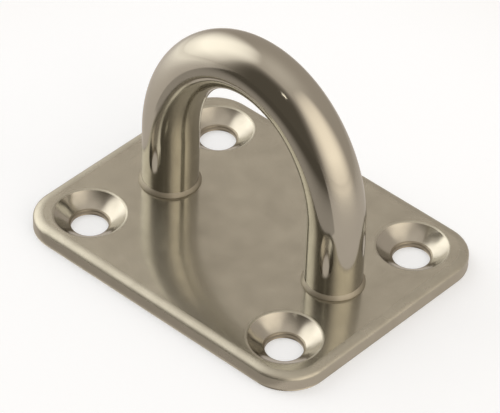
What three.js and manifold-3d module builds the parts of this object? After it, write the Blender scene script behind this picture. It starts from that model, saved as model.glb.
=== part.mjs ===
// Pad eye of stainless steel: a pressed plate with four countersunk screw holes, and a bent round
// bar welded into it. Millimetres. +X runs along the plate and across the eye, +Y runs across the
// plate, and +Z is up.
// The origin is the middle of the plate's underside, which lies on the deck.

import * as THREE from "three";
import { mergeVertices } from "three/addons/utils/BufferGeometryUtils.js";
import Module from "manifold-3d";

// Plate
const plateLength = 51.0;
const plateWidth = 39.8;
const plateThickness = 2.7;
const plateCornerRadius = 6.0;
const topEdgeDrop = 0.75; // how far the pressed and buffed top edge falls
const topEdgeRun = 1.4; // how far in from the side it starts to fall

// Screw holes, one at each corner of the plate
const screwHoleFromEnd = 7.5; // hole centre to the plate's short side
const screwHoleFromSide = 7.0; // hole centre to the plate's long side
const screwHoleDiameter = 5.2;
const countersinkDiameter = 10.2;
const countersinkLand = 0.75; // straight wall left under the cone
const countersinkRimRadius = 0.5; // the rim is softened by polishing

// Bar, bent to an eye
const barDiameter = 8.0;
const eyeInnerWidth = 22.2; // between the legs
const eyeInnerHeight = 23.7; // from the plate's face to the underside of the crown
const legStraightLength = 9.4; // from the plate's face to where the bend starts

// Welds at the feet of the bar
const legHoleClearance = 0.15; // all round the leg, in the plate
const collarClearance = 0.1; // all round the leg, in the collar
const collarWidth = 0.29;
const collarHeight = 0.62;
const plugWeldThickness = 1.2; // from the underside up to the end of the leg
const plugWeldWidth = 1.25; // beyond the leg, all round
const plugWeldClearance = 0.15; // all round the weld, in its recess

// Facets
const cornerSegments = 5; // half of the steps round a plate corner
const topEdgeSegments = 4;
const rimSegments = 3;
const roundSegments = 36;
const collarSegments = 5;
const barSegments = 56;

const cutOverrun = 1.0; // how far a cutter runs past the faces it opens

// Finishes of the steel
const buffedPlate = { color: 0xa89f8c, roughness: 0.24 };
const polishedBar = { color: 0xb3ab99, roughness: 0.16 };
const buffedWeld = { color: 0x9c9482, roughness: 0.3 };
const groundWeld = { color: 0x8f887b, roughness: 0.4 };

const barRadius = barDiameter / 2;
const legOffset = (eyeInnerWidth + barDiameter) / 2;
const bendStartHeight = plateThickness + legStraightLength;
const crownHeight = plateThickness + eyeInnerHeight + barRadius;
const plugWeldRadius = barRadius + plugWeldWidth;

const legs = [
  { side: "left", x: -legOffset },
  { side: "right", x: legOffset },
];

const wasm = await Module();
wasm.setup();

// A closed geometry as a solid that can be cut and joined.
function solidOf(geometry) {
  const bare = geometry.clone();
  bare.deleteAttribute("normal");
  bare.deleteAttribute("uv");
  const merged = mergeVertices(bare);
  return new wasm.Manifold(
    new wasm.Mesh({
      numProp: 3,
      vertProperties: merged.attributes.position.array,
      triVerts: new Uint32Array(merged.index.array),
    }),
  );
}

function geometryOf(solid) {
  const { vertProperties, triVerts } = solid.getMesh();
  const geometry = new THREE.BufferGeometry();
  geometry.setAttribute("position", new THREE.BufferAttribute(vertProperties, 3));
  geometry.setIndex(new THREE.BufferAttribute(triVerts, 1));
  geometry.computeVertexNormals();
  return geometry;
}

function steelMesh(name, geometry, finish) {
  const mesh = new THREE.Mesh(geometry, new THREE.MeshStandardMaterial({ ...finish, metalness: 1 }));
  mesh.name = name;
  return mesh;
}

// A body turned about a line parallel to Z through (x, y), from [radius, height] pairs.
function turned(profile, x, y) {
  const points = profile.map(([radius, height]) => new THREE.Vector2(radius, height));
  return new THREE.LatheGeometry(points, roundSegments).rotateX(Math.PI / 2).translate(x, y, 0);
}

function roundedRectangle(length, width, radius) {
  const x = length / 2 - radius;
  const y = width / 2 - radius;
  const quarter = Math.PI / 2;
  const outline = new THREE.Shape();
  outline.absarc(x, y, radius, 0, quarter);
  outline.absarc(-x, y, radius, quarter, 2 * quarter);
  outline.absarc(-x, -y, radius, 2 * quarter, 3 * quarter);
  outline.absarc(x, -y, radius, 3 * quarter, 4 * quarter);
  return outline;
}

// The blank's top edge falls away in a quarter ellipse. Its lower edge is trimmed off flat.
function plateBlank() {
  const blank = new THREE.ExtrudeGeometry(roundedRectangle(plateLength, plateWidth, plateCornerRadius), {
    depth: plateThickness - topEdgeDrop + cutOverrun,
    curveSegments: cornerSegments,
    bevelEnabled: true,
    bevelThickness: topEdgeDrop,
    bevelSize: topEdgeRun,
    bevelOffset: -topEdgeRun,
    bevelSegments: topEdgeSegments,
  }).translate(0, 0, -cutOverrun);
  const trimHeight = topEdgeDrop + 2 * cutOverrun;
  const trim = new THREE.BoxGeometry(
    plateLength + 2 * cutOverrun,
    plateWidth + 2 * cutOverrun,
    trimHeight,
  ).translate(0, 0, -trimHeight / 2);
  return solidOf(blank).subtract(solidOf(trim));
}

// Straight wall, cone and softened rim of one screw hole.
function screwHoleCutter(x, y) {
  const holeRadius = screwHoleDiameter / 2;
  const mouthRadius = countersinkDiameter / 2;
  const coneAngle = Math.atan2(plateThickness - countersinkLand, mouthRadius - holeRadius);
  const rimEndRadius = mouthRadius + countersinkRimRadius * Math.tan(coneAngle / 2);
  const rim = Array.from({ length: rimSegments + 1 }, (_, i) => {
    const angle = coneAngle * (1 - i / rimSegments);
    return [
      rimEndRadius - countersinkRimRadius * Math.sin(angle),
      plateThickness - countersinkRimRadius * (1 - Math.cos(angle)),
    ];
  });
  return turned(
    [
      [0, -cutOverrun],
      [holeRadius, -cutOverrun],
      [holeRadius, countersinkLand],
      ...rim,
      [rimEndRadius, plateThickness + cutOverrun],
      [0, plateThickness + cutOverrun],
    ],
    x,
    y,
  );
}

// The leg's hole, with a wider recess under it for the plug weld.
function legHoleCutter(x) {
  const holeRadius = barRadius + legHoleClearance;
  const recessRadius = plugWeldRadius + plugWeldClearance;
  return turned(
    [
      [0, -cutOverrun],
      [recessRadius, -cutOverrun],
      [recessRadius, plugWeldThickness],
      [holeRadius, plugWeldThickness],
      [holeRadius, plateThickness + cutOverrun],
      [0, plateThickness + cutOverrun],
    ],
    x,
    0,
  );
}

function basePlate() {
  const holeX = plateLength / 2 - screwHoleFromEnd;
  const holeY = plateWidth / 2 - screwHoleFromSide;
  let plate = plateBlank();
  for (const x of [-holeX, holeX]) {
    for (const y of [-holeY, holeY]) {
      plate = plate.subtract(solidOf(screwHoleCutter(x, y)));
    }
  }
  for (const leg of legs) {
    plate = plate.subtract(solidOf(legHoleCutter(leg.x)));
  }
  return steelMesh("base_plate", geometryOf(plate), buffedPlate);
}

// The bar's centre line: up one straight leg, over half an ellipse, and down the other.
class EyeLine extends THREE.Curve {
  getPoint(t, target = new THREE.Vector3()) {
    const straight = bendStartHeight - plugWeldThickness;
    const rise = crownHeight - bendStartHeight;
    const bend = Math.PI * Math.sqrt((legOffset ** 2 + rise ** 2) / 2);
    const along = t * (2 * straight + bend);
    if (along < straight) {
      return target.set(-legOffset, 0, plugWeldThickness + along);
    }
    if (along > straight + bend) {
      return target.set(legOffset, 0, bendStartHeight - (along - straight - bend));
    }
    const angle = (Math.PI * (along - straight)) / bend;
    return target.set(-legOffset * Math.cos(angle), 0, bendStartHeight + rise * Math.sin(angle));
  }
}

function eyeBow() {
  const section = Array.from({ length: roundSegments }, (_, i) => {
    const angle = (2 * Math.PI * i) / roundSegments;
    return new THREE.Vector2(barRadius * Math.cos(angle), barRadius * Math.sin(angle));
  });
  const bar = new THREE.ExtrudeGeometry(new THREE.Shape(section), {
    steps: barSegments,
    extrudePath: new EyeLine(),
  });
  return steelMesh("eye_bow", bar, polishedBar);
}

// A low rounded bead that lies on the plate round the foot of a leg.
function weldCollar(leg) {
  const innerRadius = barRadius + collarClearance;
  const crown = Array.from({ length: collarSegments + 1 }, (_, i) => {
    const angle = ((Math.PI / 2) * i) / collarSegments;
    return [
      innerRadius + collarWidth * Math.cos(angle),
      plateThickness + collarHeight * Math.sin(angle),
    ];
  });
  const profile = [[innerRadius, plateThickness], ...crown, [innerRadius, plateThickness]];
  return steelMesh(`weld_collar_${leg.side}`, turned(profile, leg.x, 0), buffedWeld);
}

// Weld metal under the end of a leg, ground flush with the underside.
function plugWeld(leg) {
  const profile = [
    [0, 0],
    [plugWeldRadius, 0],
    [plugWeldRadius, plugWeldThickness],
    [0, plugWeldThickness],
  ];
  return steelMesh(`plug_weld_${leg.side}`, turned(profile, leg.x, 0), groundWeld);
}

const padEye = new THREE.Group();
padEye.add(basePlate(), eyeBow());
for (const leg of legs) {
  padEye.add(weldCollar(leg), plugWeld(leg));
}

export default padEye;
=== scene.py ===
"""A stainless steel pad eye on a pale floor: a pressed plate, a bent round bar and the welds that join them.

Metres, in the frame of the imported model: +X along the plate and across the eye, +Z up, and the origin
in the middle of the plate's underside. Sizes that the frame doesn't hold are written in millimetres.
"""

import math

import bpy
from mathutils import Matrix, Vector
from mathutils.geometry import delaunay_2d_cdt


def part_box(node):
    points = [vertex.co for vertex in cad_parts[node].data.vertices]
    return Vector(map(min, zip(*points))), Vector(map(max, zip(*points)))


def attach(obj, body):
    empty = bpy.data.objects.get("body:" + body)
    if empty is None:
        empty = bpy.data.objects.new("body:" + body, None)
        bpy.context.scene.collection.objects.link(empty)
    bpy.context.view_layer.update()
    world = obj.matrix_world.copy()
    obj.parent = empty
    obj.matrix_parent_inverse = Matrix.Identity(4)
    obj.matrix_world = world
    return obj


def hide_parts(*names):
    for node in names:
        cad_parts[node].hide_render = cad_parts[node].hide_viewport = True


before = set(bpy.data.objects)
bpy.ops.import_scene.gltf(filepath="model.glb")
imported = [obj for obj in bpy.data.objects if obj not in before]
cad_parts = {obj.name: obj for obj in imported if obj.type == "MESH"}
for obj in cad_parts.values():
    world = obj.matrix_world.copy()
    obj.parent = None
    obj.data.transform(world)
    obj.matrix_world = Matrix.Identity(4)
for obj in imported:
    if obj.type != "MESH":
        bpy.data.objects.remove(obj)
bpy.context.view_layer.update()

MM = 0.001
QUARTER_TURN = math.pi / 2
HALF_TURN = 2 * QUARTER_TURN
FULL_TURN = 4 * QUARTER_TURN
UP = Vector((0, 0, 1))
SIDES = {"left": -1, "right": 1}

# Sizes read from the frame
plate_low, plate_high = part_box("base_plate")
bow_low, bow_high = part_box("eye_bow")
collar_low, collar_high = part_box("weld_collar_right")
plug_low, plug_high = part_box("plug_weld_right")
PLATE_LENGTH = plate_high.x - plate_low.x
PLATE_WIDTH = plate_high.y - plate_low.y
PLATE_FACE = plate_high.z
BAR_RADIUS = (bow_high.y - bow_low.y) / 2
LEG_OFFSET = bow_high.x - BAR_RADIUS
CROWN_HEIGHT = bow_high.z - BAR_RADIUS
BEAD_RADIUS = (collar_high.x - collar_low.x) / 2
PLUG_RADIUS = (plug_high.x - plug_low.x) / 2
PLUG_TOP = plug_high.z

# Plate
CORNER_RADIUS = 6.0 * MM
TOP_EDGE_DROP = 0.75 * MM
TOP_EDGE_RUN = 1.4 * MM
LOWER_EDGE_RADIUS = 0.2 * MM
FACE_FALL = 0.2 * MM  # how far the pressed face sinks towards the plate's sides
FALL_POWER = 6  # the face stays nearly flat in its middle
FACE_GRID = 1.2 * MM  # spacing of the mesh points that carry the fall
GRID_MARGIN = 0.6 * MM  # kept free of them along the edge and round the legs
# Places of the finishes in the list that plate() hands over
PLATE_FINISHES = {"face": 0, "cone": 1, "wall": 2, "underside": 3, "edge": 4, "round": 5}

# Screw holes
HOLE_X = PLATE_LENGTH / 2 - 7.5 * MM
HOLE_Y = PLATE_WIDTH / 2 - 7.0 * MM
HOLE_RADIUS = 2.6 * MM
LAND_HEIGHT = 0.59 * MM  # straight wall under the cone
LAND_CORNER_RADIUS = 0.3 * MM
CONE_FOOT_TILT = math.radians(32)  # the cone is slightly dished, so it is flatter at its foot
CONE_RIM_TILT = math.radians(44)
# The cone's foot takes the hole wall's finish: duller, and darker in colour as painted shade at the bottom of
# the cone.
DULL_SHADED_STEPS = 1  # steps of the cone's foot that the buffing doesn't reach
RIM_RADIUS = 0.5 * MM
DEBURR_RADIUS = 0.12 * MM
CHATTER = 0.02 * MM  # height of the lobes that the tool left in a cone
CHATTER_LOBES = (5, 9)  # on one turn, two patterns laid over each other
CHATTER_RADIUS = 3.9 * MM  # middle of the cone
HOLE_CLEAR = 6.1 * MM  # from a hole's centre to the nearest mesh point of the face

# Eye
BEND_START = PLATE_FACE + 9.4 * MM
LEG_HOLE_RADIUS = BAR_RADIUS + 0.15 * MM

# Welds
BEAD_TOP = PLATE_FACE + 0.76 * MM
BEAD_TOE_RADIUS = 0.13 * MM
BEAD_TOE_START = math.radians(70)  # tilt of the bead where its slope runs into its toe
BEAD_TOE_END = math.radians(135)  # tilt of the toe where it meets the plate
BEAD_SINK = 0.02 * MM  # how far the bead's upper edge lies inside the bar
BEAD_WANDER = 0.03 * MM
BEAD_LOBES = (2, 5)  # on one turn, two wanderings laid over each other
PLUG_SEAM = 0.03 * MM

# Steps of the meshes
CORNER_STEPS = 20
SIDE_STEPS = 24
EDGE_STEPS = 14
ROUND_STEPS = 96
LEG_STEPS = 16
BEND_STEPS = 220

# Camera, at the photograph's viewing angle
CAMERA_AZIMUTH = math.radians(41.2086)
CAMERA_ELEVATION = math.radians(40.3018)
CAMERA_ROLL = math.radians(2.1484)
CAMERA_DISTANCE = 504.2565 * MM
CAMERA_AIM_HEIGHT = 8.0 * MM
CAMERA_AIM_RIGHT = -0.2139 * MM
CAMERA_AIM_UP = -1.0125 * MM
LENS = 268.22
SENSOR = 36.0
NEAREST = 10 * MM
FARTHEST = 10000 * MM

# Steel
GLANCING_TINT = "#EDEDED"  # steel gains less at a glancing angle than the shader's plain metal
STRAW = "#B39A6A"
STRAW_WIDTH = 2.6 * MM
STRAW_STRENGTH = 0.45
CLOUD_DETAIL = 3.0
CLOUD_LOW = 0.3  # the clouds' noise at its smoothest, and at its roughest
CLOUD_HIGH = 0.7
LINE_DETAIL = 2.0
HAZE_SIZE = 0.04 * MM  # drawn coarser than the real bloom of the buffing, which is too fine to show
HAZE_START = 0.52
HAZE_FULL = 0.68
SCUFF_SIZE = (5.0 * MM, 0.16 * MM, 0.16 * MM)
SCUFF_TURN = (0.0, 0.0, math.radians(24))
SCUFF_START = 0.66
SCUFF_FULL = 0.76
WAVE_SIZE = 9.0 * MM
BUFFING = {  # marks of the wheel, on the plate's face and on its rounded edges
    "cloud": 3.2 * MM,
    "line": (4.0 * MM, 0.14 * MM, 0.14 * MM),
    "line_depth": 0.0005 * MM,
    "haze": 0.34,
    "wave_depth": 0.006 * MM,
}

# Floor
FLOOR_RADIUS = 700 * MM
FLOOR_DROP = 0.03 * MM
CLEAR_GAP = 0.5 * MM  # light that starts nearer than this over the floor passes, and so reaches the underside
BOARD_COLOUR = "#D2D9E4"
BOARD_TO = 46 * MM  # the white board starts to fade here, and the sweep is alone from SWEEP_FROM
SWEEP_FROM = 150 * MM
BOARD_LIFT = 0.36  # plain light that the white board adds to what it returns
# Near the object the metal sees the board mostly as a glow in the tent's tone, darker and warmer than the lit
# board: a painted reflection.
BOARD_PAINTED_REFLECTION = 0.85  # how much of the tent's plain tone the metal sees in the board
BOARD_TONE = 1.15  # level of that tone near the object
# Glossy rays pass through the sweep to the lower halves of the lit walls: a painted sheen of the matt board.
BOARD_PAINTED_SHEEN = 0.8  # how much of the tent's walls the metal sees in the sweep
SHEEN_FROM = 30 * MM
SHEEN_FULL = 175 * MM

# Light tent
TENT_COLOUR = "#D6CABD"
ROOF_COLOUR = "#FFF4E6"
ROOF_POWER = 6.0  # how fast the roof's colour fades down the walls
TENT_LEVEL = 0.9
CARD_DISTANCE = 450 * MM
LIGHT_FULL = 0.1  # from the middle of a lit wall to where it starts to fade, as a share of its half width
LIT_LOW = 0.66  # the share of its light that a wall gives at the floor
LIT_RISE = 0.3  # height over distance from which it is fully lit
LIT_WALLS = {  # bearings are in degrees from +X, and half sizes are shares of CARD_DISTANCE
    "light_left": {
        "bearing": 189,
        "colour": "#FFFCF3",
        "strength": 1.7,
        "half_width": 1.21,
        "half_height": 3.4,
    },
    "light_right": {
        "bearing": 356,
        "colour": "#FFF3DF",
        "strength": 1.31,
        "half_width": 1.2,
        "half_height": 2.9,
    },
}
DARK_COLOUR = "#FFEFD7"
FRONT_BEARING = 270
FRONT_DISTANCE = 420 * MM
FRONT_HALF_WIDTH = 441 * MM
FRONT_HALF_HEIGHT = 928.2 * MM
FRONT_FULL = 0.42
FRONT_LEVEL = 0.15
# The dark table is seen only by the metal: a painted reflection. From its near edge, just past the plate, it
# also paints the floor's shade beside the plate.
TABLE_LEVEL = 0.13
TABLE_LIFT = 0.1 * MM
TABLE_NEAR = 20.2 * MM
TABLE_DARK = 85 * MM
TABLE_NEAR_SHADE = 0.42  # how much of the dark table shows at its near edge
TABLE_NEAR_SPREAD = 1.5  # half width of the table over its distance, at its near and its far edge
TABLE_FAR_SPREAD = 0.6
LAMP_COLOUR = "#FFF6E6"
LAMP_STRENGTH = 2.4
LAMP_HALF = 11 * MM
LAMP_DISTANCE = 300 * MM
LAMP_BEARING = math.radians(284)
LAMP_RISE = math.radians(45.5)


def linear(code):
    """An sRGB hex colour as the linear RGBA that a shader takes."""
    parts = [int(code[i : i + 2], 16) / 255 for i in (1, 3, 5)]
    return [c / 12.92 if c <= 0.04045 else ((c + 0.055) / 1.055) ** 2.4 for c in parts] + [1.0]


def turn_steps(start, end, steps):
    """Angles from start to end, both included."""
    return [start + (end - start) * i / steps for i in range(steps + 1)]


def round_angles():
    """Angles of the points on a round ring, each once."""
    return turn_steps(0, FULL_TURN, ROUND_STEPS)[:-1]


class Skin:
    """The surface of one piece, as points with exact normals and the faces between them."""

    def __init__(self):
        self.points = []
        self.normals = []
        self.grain = []  # the place of each point along and across the metal's grain
        self.faces = []
        self.finishes = []  # the material of each face, by its number in the piece's list

    def ring(self, points, normals, grain):
        """Adds points, and gives their numbers."""
        first = len(self.points)
        self.points += points
        self.normals += [n.normalized() for n in normals]
        self.grain += grain
        return list(range(first, len(self.points)))

    def loft(self, rings, finish=0):
        """Quads from each ring to the next. They face out where rings run anticlockwise and climb."""
        for a, b in zip(rings, rings[1:]):
            for i in range(len(a)):
                after = (i + 1) % len(a)
                self.faces.append([a[i], a[after], b[after], b[i]])
                self.finishes.append(finish)

    def disc(self, ring, facing_up, finish=0):
        """One flat face inside a ring."""
        self.faces.append(ring if facing_up else ring[::-1])
        self.finishes.append(finish)

    def sheet(self, outer, holes, facing_up, finish=0, loose=()):
        """A flat face inside the ring outer and outside the round rings holes, through the loose points."""
        order = []
        edges = []
        for ring in [outer, *holes]:
            start = len(order)
            order += ring
            edges += [(start + i, start + (i + 1) % len(ring)) for i in range(len(ring))]
        order += loose
        openings = []
        for ring in holes:
            centre = sum((self.points[i].xy for i in ring), Vector((0, 0))) / len(ring)
            openings.append((centre, (self.points[ring[0]].xy - centre).length))
        flat = [self.points[i].xy for i in order]
        _, _, triangles, origins, _, _ = delaunay_2d_cdt(flat, edges, [], 1, 0)
        for triangle in triangles:
            corners = [order[origins[v][0]] for v in triangle]
            a, b, c = (self.points[i].xy for i in corners)
            middle = (a + b + c) / 3
            if any((middle - centre).length < radius for centre, radius in openings):
                continue
            turns_left = (b - a).cross(c - a) > 0
            self.faces.append(corners if turns_left == facing_up else corners[::-1])
            self.finishes.append(finish)

    def turned(self, centre, profile):
        """Rings about an upright axis. profile(angle) gives each one's radius, height, normal out and up."""
        angles = round_angles()
        spokes = [Vector((math.cos(a), math.sin(a), 0)) for a in angles]
        profiles = [profile(a) for a in angles]
        rings = []
        along = 0.0
        for step in range(len(profiles[0])):
            rows = [p[step] for p in profiles]
            if step:
                before = profiles[0][step - 1]
                along += math.hypot(rows[0][0] - before[0], rows[0][1] - before[1])
            rings.append(
                self.ring(
                    [centre + spoke * r + UP * h for spoke, (r, h, _, _) in zip(spokes, rows)],
                    [spoke * out + UP * up for spoke, (_, _, out, up) in zip(spokes, rows)],
                    [Vector((along, s.x * BAR_RADIUS, s.y * BAR_RADIUS)) for s in spokes],
                )
            )
        return rings

    def sink(self):
        """Squeezes all that stands on the plate's underside, so that its face falls towards the sides."""
        for i, (point, normal) in enumerate(zip(self.points, self.normals)):
            u = 2 * point.x / PLATE_LENGTH
            v = 2 * point.y / PLATE_WIDTH
            left = 1 - FACE_FALL / PLATE_FACE * (u**FALL_POWER + v**FALL_POWER)
            steepness = 2 * FALL_POWER * FACE_FALL / PLATE_FACE * normal.z * point.z / left
            lean = Vector((u ** (FALL_POWER - 1) / PLATE_LENGTH, v ** (FALL_POWER - 1) / PLATE_WIDTH, 0))
            self.normals[i] = (Vector((normal.x, normal.y, normal.z / left)) + lean * steepness).normalized()
            self.points[i] = Vector((point.x, point.y, point.z * left))

    def piece(self, name, materials, slot, *nodes):
        """Makes the finished object, which stands for those nodes."""
        mesh = bpy.data.meshes.new(name)
        mesh.from_pydata(self.points, [], self.faces)
        for material in materials:
            mesh.materials.append(material)
        mesh.polygons.foreach_set("material_index", self.finishes)
        mesh.polygons.foreach_set("use_smooth", [True] * len(self.faces))
        grain = mesh.attributes.new("grain", "FLOAT_VECTOR", "POINT")
        grain.data.foreach_set("vector", [c for g in self.grain for c in g])
        mesh.normals_split_custom_set_from_vertices(self.normals)
        made = bpy.data.objects.new(name, mesh)
        bpy.context.scene.collection.objects.link(made)
        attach(made, "root")
        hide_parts(*nodes)


def node(tree, kind, inputs=None, **settings):
    """Adds a node. inputs maps a socket to its value, or to the output that feeds it."""
    made = tree.nodes.new(kind)
    for name, value in settings.items():
        setattr(made, name, value)
    for socket, value in (inputs or {}).items():
        if isinstance(value, bpy.types.NodeSocket):
            tree.links.new(value, made.inputs[socket])
        else:
            made.inputs[socket].default_value = value
    return made


def new_material(name):
    """An empty material, and the node tree that it is drawn with."""
    material = bpy.data.materials.new(name)
    material.use_nodes = True
    material.node_tree.nodes.clear()
    return material, material.node_tree


def worn_polish(tree, place, clouds, roughness, haze, scuff):
    """Roughness that drifts with the clouds, under specks of haze and scratches from handling."""
    polish = node(
        tree,
        "ShaderNodeMapRange",
        {"Value": clouds, 1: CLOUD_LOW, 2: CLOUD_HIGH, 3: roughness[0], 4: roughness[1]},
    )
    across = node(
        tree,
        "ShaderNodeMapping",
        {"Vector": place, "Rotation": SCUFF_TURN, "Scale": [1 / x for x in SCUFF_SIZE]},
    )
    scuffs = node(tree, "ShaderNodeTexNoise", {"Vector": across.outputs[0], "Scale": 1.0, "Detail": 1.0})
    scratches = node(
        tree,
        "ShaderNodeMapRange",
        {"Value": scuffs.outputs["Fac"], 1: SCUFF_START, 2: SCUFF_FULL, 3: 0.0, 4: scuff},
    )
    grit = node(
        tree,
        "ShaderNodeTexNoise",
        {"Vector": place, "Scale": 1 / HAZE_SIZE, "Detail": 0.0},
        noise_dimensions="2D",
    )
    specks = node(
        tree,
        "ShaderNodeMapRange",
        {"Value": grit.outputs["Fac"], 1: HAZE_START, 2: HAZE_FULL, 3: 0.0, 4: haze},
    )
    marks = node(tree, "ShaderNodeMath", {0: specks.outputs[0], 1: scratches.outputs[0]}, operation="ADD")
    return node(
        tree, "ShaderNodeMath", {0: polish.outputs[0], 1: marks.outputs[0]}, operation="ADD"
    ).outputs[0]


def worked_relief(tree, place, line, line_depth, wave_depth):
    """Fine lines of the last working, on slow waves."""
    stretched = node(tree, "ShaderNodeMapping", {"Vector": place, "Scale": [1 / x for x in line]})
    lines = node(
        tree, "ShaderNodeTexNoise", {"Vector": stretched.outputs[0], "Scale": 1.0, "Detail": LINE_DETAIL}
    )
    waves = node(tree, "ShaderNodeTexNoise", {"Vector": place, "Scale": 1 / WAVE_SIZE, "Detail": 0.0})
    waved = node(tree, "ShaderNodeBump", {"Height": waves.outputs["Fac"], "Distance": wave_depth})
    return node(
        tree,
        "ShaderNodeBump",
        {"Height": lines.outputs["Fac"], "Distance": line_depth, "Normal": waved.outputs[0]},
    ).outputs[0]


def worked_steel(
    name,
    pale,
    deep,
    cloud,
    roughness,
    line,
    line_depth,
    haze=0.0,
    scuff=0.0,
    wave_depth=0.0,
    along_grain=False,
    tint=None,
):
    """Bare stainless steel. It drifts in clouds from pale to deep, and between its two roughnesses.

    cloud is the size of a cloud. line is the length of the marks of its last working along X, Y and Z, and
    line_depth how deep they are. With along_grain, X runs from ring to ring of the piece instead. haze is
    how much rougher the specks are that the buffing left, and scuff how much rougher its handling scratches
    are. wave_depth is the depth of its slow waviness. tint is a function that colours it further.
    """
    material, tree = new_material(name)
    if along_grain:
        place = node(tree, "ShaderNodeAttribute", attribute_name="grain").outputs["Vector"]
    else:
        place = node(tree, "ShaderNodeTexCoord").outputs["Object"]
    clouds = node(tree, "ShaderNodeTexNoise", {"Vector": place, "Scale": 1 / cloud, "Detail": CLOUD_DETAIL})
    colour = node(
        tree,
        "ShaderNodeMix",
        {0: clouds.outputs["Fac"], 6: linear(pale), 7: linear(deep)},
        data_type="RGBA",
    ).outputs[2]
    if tint:
        colour = tint(tree, place, colour)
    shader = node(
        tree,
        "ShaderNodeBsdfPrincipled",
        {
            "Base Color": colour,
            "Metallic": 1.0,
            "Roughness": worn_polish(tree, place, clouds.outputs["Fac"], roughness, haze, scuff),
            "Normal": worked_relief(tree, place, line, line_depth, wave_depth),
        },
    )
    shader.inputs["Specular Tint"].default_value = linear(GLANCING_TINT)
    node(tree, "ShaderNodeOutputMaterial", {"Surface": shader.outputs[0]})
    return material


def buffed_sheet():
    """Cold-rolled sheet, pressed and buffed. A soft mirror, cloudy from the wheel."""
    return worked_steel(
        "buffed_stainless_sheet",
        pale="#CBC9BD",
        deep="#AAA79C",
        roughness=(0.11, 0.16),
        scuff=0.03,
        **BUFFING,
    )


def buffed_round():
    """Edges of the face that the wheel has rounded over. Duller than the face, so each edge glows softly."""
    return worked_steel(
        "buffed_stainless_round",
        pale="#C2C0B5",
        deep="#A8A59A",
        roughness=(0.25, 0.32),
        **BUFFING,
    )


def blanked_edge():
    """Edge left by the blanking tool, lightly brushed. Greyer and duller than the face, marked upright."""
    return worked_steel(
        "blanked_stainless_edge",
        pale="#BAB6AC",
        deep="#A8A499",
        cloud=3.0 * MM,
        roughness=(0.26, 0.34),
        line=(0.22 * MM, 0.22 * MM, 2.5 * MM),
        line_depth=0.0012 * MM,
    )


def turned_cone():
    """Countersink cut with a turning tool. Its fine rings spread each highlight along the cone."""
    return worked_steel(
        "turned_stainless_countersink",
        pale="#BDBAB1",
        deep="#AAA79E",
        cloud=2.5 * MM,
        roughness=(0.16, 0.24),
        line=(0.13 * MM, 6.0 * MM, 6.0 * MM),
        line_depth=0.0008 * MM,
        along_grain=True,
    )


def drilled_and_shaded_wall():
    """Drilled hole, not buffed. Duller than the face, and darker in colour, which paints the shade inside the
    hole.
    """
    return worked_steel(
        "drilled_shaded_stainless_hole",
        pale="#9A9487",
        deep="#8A8377",
        cloud=1.5 * MM,
        roughness=(0.32, 0.42),
        line=(0.13 * MM, 4.0 * MM, 4.0 * MM),
        line_depth=0.0015 * MM,
        along_grain=True,
    )


def mill_underside():
    """Sheet as it left the rolling mill. Even grey with lines along it, and straw where welding heated it."""
    return worked_steel(
        "mill_finish_stainless",
        pale="#ADA9A0",
        deep="#9F9B91",
        cloud=7.0 * MM,
        roughness=(0.3, 0.38),
        line=(9.0 * MM, 0.16 * MM, 0.16 * MM),
        line_depth=0.0012 * MM,
        scuff=0.08,
        wave_depth=0.003 * MM,
        tint=heat_tint,
    )


def heat_tint(tree, place, colour):
    """Straw rings round the plug welds."""
    for side in SIDES.values():
        away = node(
            tree,
            "ShaderNodeVectorMath",
            {0: place, 1: (side * LEG_OFFSET, 0.0, 0.0)},
            operation="DISTANCE",
        )
        heat = node(
            tree,
            "ShaderNodeMapRange",
            {
                "Value": away.outputs["Value"],
                1: PLUG_RADIUS + STRAW_WIDTH,
                2: PLUG_RADIUS,
                3: 0.0,
                4: STRAW_STRENGTH,
            },
            interpolation_type="SMOOTHSTEP",
        )
        colour = node(
            tree,
            "ShaderNodeMix",
            {0: heat.outputs[0], 6: colour, 7: linear(STRAW)},
            data_type="RGBA",
        ).outputs[2]
    return colour


def polished_bar():
    """Drawn round bar, polished lengthwise. A near mirror, with soft edges to its reflections."""
    return worked_steel(
        "polished_stainless_bar",
        pale="#B4B1A8",
        deep="#AEABA2",
        cloud=6.0 * MM,
        roughness=(0.08, 0.12),
        line=(6.0 * MM, 0.16 * MM, 0.16 * MM),
        line_depth=0.0004 * MM,
        scuff=0.03,
        along_grain=True,
    )


def buffed_bead():
    """Weld bead blended with a wheel. Softer than the bar and slightly uneven."""
    return worked_steel(
        "buffed_stainless_weld",
        pale="#ABA699",
        deep="#9C968A",
        cloud=1.6 * MM,
        roughness=(0.5, 0.58),
        line=(0.2 * MM, 1.2 * MM, 1.2 * MM),
        line_depth=0.001 * MM,
        along_grain=True,
    )


def ground_weld():
    """Weld metal ground flush with a disc. Coarse lines across the pad, duller than the sheet."""
    return worked_steel(
        "ground_stainless_weld",
        pale="#A29C90",
        deep="#908A7E",
        cloud=1.8 * MM,
        roughness=(0.36, 0.46),
        line=(0.17 * MM, 5.0 * MM, 0.17 * MM),
        line_depth=0.002 * MM,
    )


def outline(inset):
    """The plate's outline drawn in by inset: points with their directions out, anticlockwise."""
    radius = CORNER_RADIUS - inset
    x = PLATE_LENGTH / 2 - CORNER_RADIUS
    y = PLATE_WIDTH / 2 - CORNER_RADIUS
    arcs = []
    for quarter, (corner_x, corner_y) in enumerate([(x, y), (-x, y), (-x, -y), (x, -y)]):
        angles = turn_steps(QUARTER_TURN * quarter, QUARTER_TURN * (quarter + 1), CORNER_STEPS)
        outs = [Vector((math.cos(a), math.sin(a), 0)) for a in angles]
        arcs.append([(Vector((corner_x, corner_y, 0)) + out * radius, out) for out in outs])
    points = []
    for arc, following in zip(arcs, arcs[1:] + arcs[:1]):
        start, out = arc[-1]
        end = following[0][0]
        points += arc
        points += [(start.lerp(end, i / SIDE_STEPS), out) for i in range(1, SIDE_STEPS)]
    return points


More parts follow.
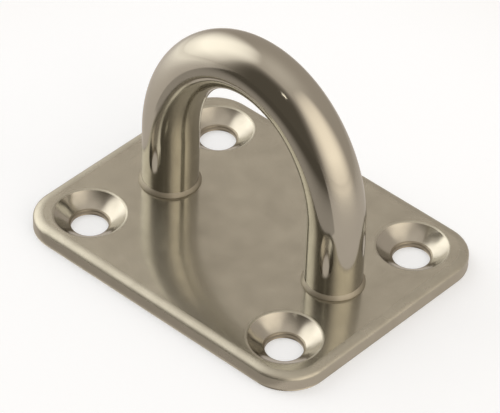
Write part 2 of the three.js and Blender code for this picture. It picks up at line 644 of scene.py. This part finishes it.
def outline_ring(skin, inset, height, out, up):
    """The outline at that height, with normals that lean by out and up."""
    rows = outline(inset)
    points = [point + UP * height for point, _ in rows]
    return skin.ring(points, [away * out + UP * up for _, away in rows], points)


def arc(centre_r, centre_h, radius, tilts):
    """Points of a turned profile on a circle, where tilt is the surface's slope from level."""
    outs = [(math.sin(tilt), math.cos(tilt)) for tilt in tilts]
    return [(centre_r + radius * out, centre_h + radius * up, out, up) for out, up in outs]


def screw_hole(skin, centre):
    """Softened rim, dished cone, straight wall and deburred mouth. Gives its first and last ring."""
    foot_r = HOLE_RADIUS + LAND_CORNER_RADIUS * (1 - math.sin(CONE_FOOT_TILT))
    foot_h = LAND_HEIGHT + LAND_CORNER_RADIUS * math.cos(CONE_FOOT_TILT)
    rise = PLATE_FACE - RIM_RADIUS * (1 - math.cos(CONE_RIM_TILT)) - foot_h
    dish = rise / (math.cos(CONE_FOOT_TILT) - math.cos(CONE_RIM_TILT))
    dish_r = foot_r - dish * math.sin(CONE_FOOT_TILT)
    dish_h = foot_h + dish * math.cos(CONE_FOOT_TILT)
    rim_r = dish_r + (dish + RIM_RADIUS) * math.sin(CONE_RIM_TILT)
    rim = arc(rim_r, PLATE_FACE - RIM_RADIUS, RIM_RADIUS, turn_steps(0, -CONE_RIM_TILT, EDGE_STEPS))
    cone = arc(dish_r, dish_h, -dish, turn_steps(-CONE_RIM_TILT, -CONE_FOOT_TILT, EDGE_STEPS))
    corner = arc(
        HOLE_RADIUS + LAND_CORNER_RADIUS,
        LAND_HEIGHT,
        LAND_CORNER_RADIUS,
        turn_steps(-CONE_FOOT_TILT, -QUARTER_TURN, EDGE_STEPS),
    )
    mouth = arc(
        HOLE_RADIUS + DEBURR_RADIUS,
        DEBURR_RADIUS,
        DEBURR_RADIUS,
        turn_steps(-QUARTER_TURN, -HALF_TURN, EDGE_STEPS),
    )
    rings = skin.turned(centre, lambda angle: rim + cone[1:] + corner[1:] + mouth)
    cone_start = EDGE_STEPS
    wall_start = 2 * EDGE_STEPS - DULL_SHADED_STEPS
    phase = centre.x / PLATE_LENGTH + centre.y / MM  # another one for each hole
    chatter(skin, rings[cone_start : cone_start + EDGE_STEPS + 1], phase)
    skin.loft(rings[: cone_start + 1], PLATE_FINISHES["round"])
    skin.loft(rings[cone_start : wall_start + 1], PLATE_FINISHES["cone"])
    skin.loft(rings[wall_start:], PLATE_FINISHES["wall"])
    return rings[0], rings[-1]


def chatter(skin, rings, phase):
    """Lobes that the countersink left in the cone as it chattered. They die out at its rim and foot."""
    for step, ring in enumerate(rings):
        height = CHATTER * math.sin(HALF_TURN * step / (len(rings) - 1)) ** 2
        for i, turn in zip(ring, turn_steps(phase, phase + FULL_TURN, len(ring))):
            normal = skin.normals[i]
            around = UP.cross(normal)
            lobe = sum(math.cos(n * turn + n * phase) for n in CHATTER_LOBES)
            slope = sum(-n * math.sin(n * turn + n * phase) for n in CHATTER_LOBES)
            skin.points[i] = skin.points[i] + normal * height * lobe
            skin.normals[i] = (normal + around.normalized() * height * slope / CHATTER_RADIUS).normalized()


def leg_hole(skin, centre):
    """The leg's hole and the wider seat of its plug weld. Gives its first and last ring.

    Each corner of the profile is there twice, once for the face on either side, so that its edge stays sharp.
    """
    seat = PLUG_RADIUS + PLUG_SEAM
    profile = [
        (LEG_HOLE_RADIUS, PLATE_FACE, 0, 1),
        (LEG_HOLE_RADIUS, PLATE_FACE, -1, 0),
        (LEG_HOLE_RADIUS, PLUG_TOP, -1, 0),
        (LEG_HOLE_RADIUS, PLUG_TOP, 0, -1),
        (seat, PLUG_TOP, 0, -1),
        (seat, PLUG_TOP, -1, 0),
        (seat, 0, -1, 0),
        (seat, 0, 0, -1),
    ]
    rings = skin.turned(centre, lambda angle: profile)
    for start in (1, 3, 5):
        skin.loft(rings[start : start + 2], PLATE_FINISHES["wall"])
    return rings[0], rings[-1]


def face_spots(screw_centres):
    """A grid of points on the plate's face, clear of its edge and its holes."""
    holes = [(centre, HOLE_CLEAR) for centre in screw_centres]
    holes += [(Vector((side * LEG_OFFSET, 0, 0)), LEG_HOLE_RADIUS + GRID_MARGIN) for side in SIDES.values()]
    inset = TOP_EDGE_RUN + GRID_MARGIN
    columns = int(PLATE_LENGTH / 2 / FACE_GRID)
    rows = int(PLATE_WIDTH / 2 / FACE_GRID)
    spots = []
    for i in range(-columns, columns + 1):
        for j in range(-rows, rows + 1):
            spot = Vector((i * FACE_GRID, j * FACE_GRID, PLATE_FACE))
            past_x = abs(spot.x) - PLATE_LENGTH / 2 + CORNER_RADIUS
            past_y = abs(spot.y) - PLATE_WIDTH / 2 + CORNER_RADIUS
            reach = max(math.hypot(max(past_x, 0), max(past_y, 0)), past_x, past_y)
            in_hole = any((spot - centre).xy.length < radius for centre, radius in holes)
            if reach <= CORNER_RADIUS - inset and not in_hole:
                spots.append(spot)
    return spots


def plate():
    """The plate from its lower edge up, then its holes, its face and its underside."""
    skin = Skin()
    angles = turn_steps(0, QUARTER_TURN, EDGE_STEPS)
    lower = [
        outline_ring(
            skin,
            LOWER_EDGE_RADIUS * (1 - math.sin(a)),
            LOWER_EDGE_RADIUS * (1 - math.cos(a)),
            math.sin(a),
            -math.cos(a),
        )
        for a in angles
    ]
    upper = [
        outline_ring(
            skin,
            TOP_EDGE_RUN * (1 - math.cos(a)),
            PLATE_FACE - TOP_EDGE_DROP * (1 - math.sin(a)),
            math.cos(a) / TOP_EDGE_RUN,
            math.sin(a) / TOP_EDGE_DROP,
        )
        for a in angles
    ]
    skin.loft([*lower, upper[0]], PLATE_FINISHES["edge"])
    skin.loft(upper, PLATE_FINISHES["round"])
    screw_centres = [Vector((x, y, 0)) for x in (-HOLE_X, HOLE_X) for y in (-HOLE_Y, HOLE_Y)]
    holes = [screw_hole(skin, centre) for centre in screw_centres]
    holes += [leg_hole(skin, Vector((side * LEG_OFFSET, 0, 0))) for side in SIDES.values()]
    spots = face_spots(screw_centres)
    loose = skin.ring(spots, [UP] * len(spots), spots)
    skin.sheet(upper[-1], [top for top, _ in holes], True, PLATE_FINISHES["face"], loose)
    skin.sheet(lower[0], [bottom for _, bottom in holes], False, PLATE_FINISHES["underside"])
    skin.sink()
    skin.piece(
        "plate",
        [buffed_sheet(), turned_cone(), drilled_and_shaded_wall(), mill_underside(), blanked_edge(), buffed_round()],
        "plate_steel",
        "base_plate",
    )


def bar_line():
    """The bar's centre line and its directions: up the left leg, over half an ellipse, down the right."""
    rise = CROWN_HEIGHT - BEND_START
    climb = [PLUG_TOP + (BEND_START - PLUG_TOP) * i / LEG_STEPS for i in range(LEG_STEPS)]
    left = [(Vector((-LEG_OFFSET, 0, h)), UP) for h in climb]
    bend = [
        (
            Vector((-LEG_OFFSET * math.cos(a), 0, BEND_START + rise * math.sin(a))),
            Vector((LEG_OFFSET * math.sin(a), 0, rise * math.cos(a))).normalized(),
        )
        for a in turn_steps(0, HALF_TURN, BEND_STEPS)
    ]
    right = [(Vector((LEG_OFFSET, 0, h)), -UP) for h in reversed(climb)]
    return left + bend + right


def eye():
    """The bent bar, cut off square inside the plate."""
    skin = Skin()
    side = Vector((0, 1, 0))
    angles = round_angles()
    rings = []
    along = 0.0
    previous = None
    for centre, direction in bar_line():
        along += (centre - previous).length if previous else 0.0
        previous = centre
        up = direction.cross(side)
        outs = [side * math.cos(a) + up * math.sin(a) for a in angles]
        rings.append(
            skin.ring(
                [centre + out * BAR_RADIUS for out in outs],
                outs,
                [Vector((along, math.cos(a) * BAR_RADIUS, math.sin(a) * BAR_RADIUS)) for a in angles],
            )
        )
    skin.loft(rings)
    skin.disc(rings[0], False)
    skin.disc(rings[-1], True)
    skin.piece("eye", [polished_bar()], "bar_steel", "eye_bow")


def bead_profile(angle, phase):
    """From the bar down: a rounded slope, a toe that runs back under itself, and four rings of its seat."""
    slow, quick = BEAD_LOBES
    wander = BEAD_WANDER * (math.sin(slow * angle + phase) + math.sin(quick * angle + 2 * phase)) / 2
    top = BEAD_TOP + wander
    inner = BAR_RADIUS - BEAD_SINK
    toe_r = BEAD_RADIUS - BEAD_WANDER - BEAD_TOE_RADIUS + wander
    toe_h = PLATE_FACE - BEAD_TOE_RADIUS * math.cos(BEAD_TOE_END)
    reach = toe_r + BEAD_TOE_RADIUS * math.sin(BEAD_TOE_START) - inner
    drop = top - toe_h - BEAD_TOE_RADIUS * math.cos(BEAD_TOE_START)
    slope_start = 2 * math.atan2(drop, reach) - BEAD_TOE_START
    slope_radius = math.hypot(drop, reach) / (2 * math.sin((BEAD_TOE_START - slope_start) / 2))
    slope_r = toe_r + (BEAD_TOE_RADIUS - slope_radius) * math.sin(BEAD_TOE_START)
    slope_h = toe_h + (BEAD_TOE_RADIUS - slope_radius) * math.cos(BEAD_TOE_START)
    slope = arc(slope_r, slope_h, slope_radius, turn_steps(slope_start, BEAD_TOE_START, EDGE_STEPS // 2))
    toe = arc(toe_r, toe_h, BEAD_TOE_RADIUS, turn_steps(BEAD_TOE_START, BEAD_TOE_END, EDGE_STEPS // 2))
    foot = toe[-1][0]
    seat = [
        (foot, PLATE_FACE, 0, -1),
        (inner, PLATE_FACE, 0, -1),
        (inner, PLATE_FACE, -1, 0),
        (inner, top, -1, 0),
    ]
    return slope + toe[1:] + seat


def bead(side_name, side, material):
    """The weld bead round one leg. Its side also shifts its wandering, so that the two beads differ.

    Its seat's four rings come in pairs that share a sharp edge.
    """
    skin = Skin()
    rings = skin.turned(Vector((side * LEG_OFFSET, 0, 0)), lambda angle: bead_profile(angle, side))
    skin.loft(rings[-5::-1])
    skin.loft(rings[-3:-5:-1])
    skin.loft(rings[-1:-3:-1])
    skin.sink()
    skin.piece(f"weld_bead_{side_name}", [material], "weld_collar_steel", f"weld_collar_{side_name}")


def plug(side_name, side, material):
    """The plug weld under one leg."""
    skin = Skin()
    profile = [
        (PLUG_RADIUS, 0, 0, -1),
        (PLUG_RADIUS, 0, 1, 0),
        (PLUG_RADIUS, PLUG_TOP, 1, 0),
        (PLUG_RADIUS, PLUG_TOP, 0, 1),
    ]
    rings = skin.turned(Vector((side * LEG_OFFSET, 0, 0)), lambda angle: profile)
    skin.disc(rings[0], False)
    skin.loft(rings[1:3])
    skin.disc(rings[3], True)
    skin.piece(f"ground_plug_{side_name}", [material], "plug_weld_steel", f"plug_weld_{side_name}")


def stage_mesh(name, corners, material):
    """One flat face of the studio."""
    mesh = bpy.data.meshes.new(name)
    mesh.from_pydata(corners, [], [list(range(len(corners)))])
    mesh.materials.append(material)
    made = bpy.data.objects.new(name, mesh)
    bpy.context.scene.collection.objects.link(made)
    return made


def board_shader(tree, away, light_path):
    """A matt white that fades into the sweep. The metal sees the board mostly in the sweep's tone too: a
    painted reflection in place of the lit board.
    """
    fade = node(
        tree,
        "ShaderNodeMapRange",
        {"Value": away, 1: BOARD_TO, 2: SWEEP_FROM, 3: 0.0, 4: 1.0},
        interpolation_type="SMOOTHSTEP",
    )
    board = node(tree, "ShaderNodeBsdfDiffuse", {"Color": linear(BOARD_COLOUR)})
    direct = node(
        tree,
        "ShaderNodeMath",
        {0: light_path["Is Camera Ray"], 1: light_path["Is Glossy Ray"]},
        operation="ADD",
    )
    seen = node(
        tree, "ShaderNodeMath", {0: direct.outputs[0], 1: light_path["Is Transmission Ray"]}, operation="ADD"
    )
    lift = node(tree, "ShaderNodeMath", {0: seen.outputs[0], 1: BOARD_LIFT}, operation="MULTIPLY")
    glow = node(tree, "ShaderNodeEmission", {"Color": linear("#FFFFFF"), "Strength": lift.outputs[0]})
    lifted = node(tree, "ShaderNodeAddShader", {0: board.outputs[0], 1: glow.outputs[0]})
    tone = node(tree, "ShaderNodeMapRange", {"Value": fade.outputs[0], 3: BOARD_TONE, 4: TENT_LEVEL})
    sweep = node(tree, "ShaderNodeEmission", {"Color": linear(TENT_COLOUR), "Strength": tone.outputs[0]})
    # Glossy rays see the board partly as the sweep's glow: the painted reflection.
    painted_reflection = node(
        tree, "ShaderNodeMath", {0: light_path["Is Glossy Ray"], 1: BOARD_PAINTED_REFLECTION}, operation="MULTIPLY"
    )
    plain = node(tree, "ShaderNodeMath", {0: fade.outputs[0], 1: painted_reflection.outputs[0]}, operation="MAXIMUM")
    return node(
        tree, "ShaderNodeMixShader", {0: plain.outputs[0], 1: lifted.outputs[0], 2: sweep.outputs[0]}
    ).outputs[0]


def open_share(tree, away, light_path):
    """1 where the floor is clear: from below, and for light that starts just over it. Less in its painted
    sheen.
    """
    sheen = node(
        tree,
        "ShaderNodeMapRange",
        {"Value": away, 1: SHEEN_FROM, 2: SHEEN_FULL, 3: 0.0, 4: BOARD_PAINTED_SHEEN},
        interpolation_type="SMOOTHSTEP",
    )
    mirrored = node(
        tree, "ShaderNodeMath", {0: sheen.outputs[0], 1: light_path["Is Glossy Ray"]}, operation="MULTIPLY"
    )
    near = node(tree, "ShaderNodeMath", {0: light_path["Ray Length"], 1: CLEAR_GAP}, operation="LESS_THAN")
    back = node(tree, "ShaderNodeNewGeometry").outputs["Backfacing"]
    open_below = node(tree, "ShaderNodeMath", {0: near.outputs[0], 1: back}, operation="MAXIMUM")
    return node(
        tree, "ShaderNodeMath", {0: open_below.outputs[0], 1: mirrored.outputs[0]}, operation="MAXIMUM"
    ).outputs[0]


def floor():
    """White matt board, which runs out into a plain sweep of the tent's own tone. It is clear from below.

    The metal sees the tent's walls through the sweep: a painted sheen of the board, which itself is matt.
    """
    material, tree = new_material("matt_board")
    place = node(tree, "ShaderNodeTexCoord").outputs["Object"]
    away = node(tree, "ShaderNodeVectorMath", {0: place}, operation="LENGTH").outputs["Value"]
    light_path = node(tree, "ShaderNodeLightPath").outputs
    whole = board_shader(tree, away, light_path)
    clear = node(tree, "ShaderNodeBsdfTransparent")
    share = open_share(tree, away, light_path)
    one_sided = node(tree, "ShaderNodeMixShader", {0: share, 1: whole, 2: clear.outputs[0]})
    node(tree, "ShaderNodeOutputMaterial", {"Surface": one_sided.outputs[0]})
    angles = round_angles()
    corners = [(FLOOR_RADIUS * math.cos(a), FLOOR_RADIUS * math.sin(a), -FLOOR_DROP) for a in angles]
    stage_mesh("floor", corners, material)


def soft_edge(tree, full):
    """1 in the middle of a card, falling to 0 at its edges. full is where it starts to fall.

    Across the card it runs from -1 to 1, and its corners are rounded by the fourth root of x^4 + z^4.
    """
    place = node(tree, "ShaderNodeTexCoord").outputs["Generated"]
    spread = node(
        tree, "ShaderNodeVectorMath", {0: place, 1: (2, 0, 2), 2: (-1, 0, -1)}, operation="MULTIPLY_ADD"
    ).outputs[0]
    squared = node(tree, "ShaderNodeVectorMath", {0: spread, 1: spread}, operation="MULTIPLY").outputs[0]
    fourth = node(
        tree, "ShaderNodeVectorMath", {0: squared, 1: squared}, operation="DOT_PRODUCT"
    ).outputs["Value"]
    reach = node(tree, "ShaderNodeMath", {0: fourth, 1: 0.25}, operation="POWER").outputs[0]
    return node(
        tree,
        "ShaderNodeMapRange",
        {"Value": reach, 1: 1.0, 2: full, 3: 0.0, 4: 1.0},
        interpolation_type="SMOOTHSTEP",
    ).outputs[0]


def corners_of(half_width, half_height):
    """The corners of a rectangle about its middle, anticlockwise."""
    return [(x * half_width, y * half_height) for x, y in ((-1, -1), (1, -1), (1, 1), (-1, 1))]


def card(name, bearing, distance, half_width, half_height, material):
    """An upright card beside the object, which the camera sees only mirrored in it."""
    made = stage_mesh(name, [(x, 0, z) for x, z in corners_of(half_width, half_height)], material)
    turn = math.radians(bearing)
    made.location = (distance * math.cos(turn), distance * math.sin(turn), 0)
    made.rotation_euler = (0, 0, turn + QUARTER_TURN)
    made.visible_camera = False


def light_card(name, bearing, colour, strength, half_width, half_height):
    """A lit wall of the light tent, weaker towards the floor. Its half sizes are shares of its distance."""
    material, tree = new_material(name)
    place = node(tree, "ShaderNodeTexCoord").outputs["Generated"]
    level = node(tree, "ShaderNodeSeparateXYZ", {0: place}).outputs["Z"]
    spread = node(tree, "ShaderNodeMath", {0: level, 1: 2.0, 2: -1.0}, operation="MULTIPLY_ADD")
    height = node(tree, "ShaderNodeMath", {0: spread.outputs[0]}, operation="ABSOLUTE")
    rising = node(
        tree,
        "ShaderNodeMapRange",
        {"Value": height.outputs[0], 1: 0.0, 2: LIT_RISE / half_height, 3: LIT_LOW * strength, 4: strength},
    )
    power = node(
        tree, "ShaderNodeMath", {0: soft_edge(tree, LIGHT_FULL), 1: rising.outputs[0]}, operation="MULTIPLY"
    )
    glow = node(tree, "ShaderNodeEmission", {"Color": linear(colour), "Strength": power.outputs[0]})
    clear = node(tree, "ShaderNodeBsdfTransparent")
    both = node(tree, "ShaderNodeAddShader", {0: glow.outputs[0], 1: clear.outputs[0]})
    node(tree, "ShaderNodeOutputMaterial", {"Surface": both.outputs[0]})
    card(name, bearing, CARD_DISTANCE, half_width * CARD_DISTANCE, half_height * CARD_DISTANCE, material)


def dark_shader(tree, mask, level):
    """A dark surface of that plain level where mask is 1, and nothing where it is 0."""
    dark = node(tree, "ShaderNodeEmission", {"Color": linear(DARK_COLOUR), "Strength": level})
    clear = node(tree, "ShaderNodeBsdfTransparent")
    both = node(tree, "ShaderNodeMixShader", {0: mask, 1: clear.outputs[0], 2: dark.outputs[0]})
    node(tree, "ShaderNodeOutputMaterial", {"Surface": both.outputs[0]})


def dark_front():
    """The tent's open front."""
    material, tree = new_material("dark_front")
    dark_shader(tree, soft_edge(tree, FRONT_FULL), FRONT_LEVEL)
    card("dark_front", FRONT_BEARING, FRONT_DISTANCE, FRONT_HALF_WIDTH, FRONT_HALF_HEIGHT, material)


def dark_table_and_shade():
    """The dark table before the open front, which the camera sees only mirrored in the object: a painted
    reflection. Near the plate it paints the shade on the floor beside it.
    """
    material, tree = new_material("dark_table_and_shade")
    place = node(tree, "ShaderNodeTexCoord").outputs["Object"]
    before = node(tree, "ShaderNodeSeparateXYZ", {0: place}).outputs["Y"]
    mask = node(
        tree,
        "ShaderNodeMapRange",
        {"Value": before, 1: -TABLE_NEAR, 2: -TABLE_DARK, 3: TABLE_NEAR_SHADE, 4: 1.0},
        interpolation_type="SMOOTHSTEP",
    )
    dark_shader(tree, mask.outputs[0], TABLE_LEVEL)
    near = TABLE_NEAR_SPREAD * TABLE_NEAR
    far = TABLE_FAR_SPREAD * FRONT_DISTANCE
    spots = ((-near, TABLE_NEAR), (near, TABLE_NEAR), (far, FRONT_DISTANCE), (-far, FRONT_DISTANCE))
    made = stage_mesh("dark_table_and_shade", [(x, -y, TABLE_LIFT) for x, y in spots], material)
    made.visible_camera = False
    made.visible_diffuse = False
    made.visible_shadow = False


def glint():
    """A small lamp in the open front, which the bar shows as a speck."""
    material, tree = new_material("small_lamp")
    lit = node(tree, "ShaderNodeEmission", {"Color": linear(LAMP_COLOUR), "Strength": LAMP_STRENGTH})
    node(tree, "ShaderNodeOutputMaterial", {"Surface": lit.outputs[0]})
    made = stage_mesh("small_lamp", [(x, y, 0) for x, y in corners_of(LAMP_HALF, LAMP_HALF)], material)
    level = math.cos(LAMP_RISE)
    way = Vector((math.cos(LAMP_BEARING) * level, math.sin(LAMP_BEARING) * level, math.sin(LAMP_RISE)))
    made.location = way * LAMP_DISTANCE
    made.rotation_euler = way.to_track_quat("Z", "Y").to_euler()
    made.visible_camera = False
    made.visible_shadow = False


def tent_light():
    """The plain walls and roof of the tent, brighter overhead."""
    world = bpy.data.worlds.new("tent")
    bpy.context.scene.world = world
    world.use_nodes = True
    tree = world.node_tree
    tree.nodes.clear()
    place = node(tree, "ShaderNodeTexCoord").outputs["Generated"]
    height = node(tree, "ShaderNodeSeparateXYZ", {0: place}).outputs["Z"]
    above = node(tree, "ShaderNodeMath", {0: height, 1: 0.0}, operation="MAXIMUM")
    roof = node(tree, "ShaderNodeMath", {0: above.outputs[0], 1: ROOF_POWER}, operation="POWER")
    colour = node(
        tree,
        "ShaderNodeMix",
        {0: roof.outputs[0], 6: linear(TENT_COLOUR), 7: linear(ROOF_COLOUR)},
        data_type="RGBA",
    )
    back = node(tree, "ShaderNodeBackground", {"Color": colour.outputs[2], "Strength": TENT_LEVEL})
    node(tree, "ShaderNodeOutputWorld", {"Surface": back.outputs[0]})


def camera():
    """The camera where the photograph's stood. It aims past the object by the photograph's own offset."""
    back = Vector(
        (
            math.sin(CAMERA_AZIMUTH) * math.cos(CAMERA_ELEVATION),
            -math.cos(CAMERA_AZIMUTH) * math.cos(CAMERA_ELEVATION),
            math.sin(CAMERA_ELEVATION),
        )
    )
    level = Vector((math.cos(CAMERA_AZIMUTH), math.sin(CAMERA_AZIMUTH), 0))
    upright = back.cross(level)
    right = level * math.cos(CAMERA_ROLL) + upright * math.sin(CAMERA_ROLL)
    up = upright * math.cos(CAMERA_ROLL) - level * math.sin(CAMERA_ROLL)
    aim = UP * CAMERA_AIM_HEIGHT + right * CAMERA_AIM_RIGHT + up * CAMERA_AIM_UP
    data = bpy.data.cameras.new("camera")
    data.lens = LENS
    data.sensor_width = SENSOR
    data.clip_start = NEAREST
    data.clip_end = FARTHEST
    made = bpy.data.objects.new("camera", data)
    made.matrix_world = Matrix.Translation(aim + back * CAMERA_DISTANCE) @ Matrix(
        (right, up, back)
    ).transposed().to_4x4()
    bpy.context.scene.collection.objects.link(made)
    bpy.context.scene.camera = made


plate()
eye()
bead_metal = buffed_bead()
plug_metal = ground_weld()
for side_name, side in SIDES.items():
    bead(side_name, side, bead_metal)
    plug(side_name, side, plug_metal)

floor()
for wall_name, wall in LIT_WALLS.items():
    light_card(wall_name, **wall)
dark_front()
dark_table_and_shade()
glint()
tent_light()
camera()
bpy.context.scene.view_settings.view_transform = "Standard"
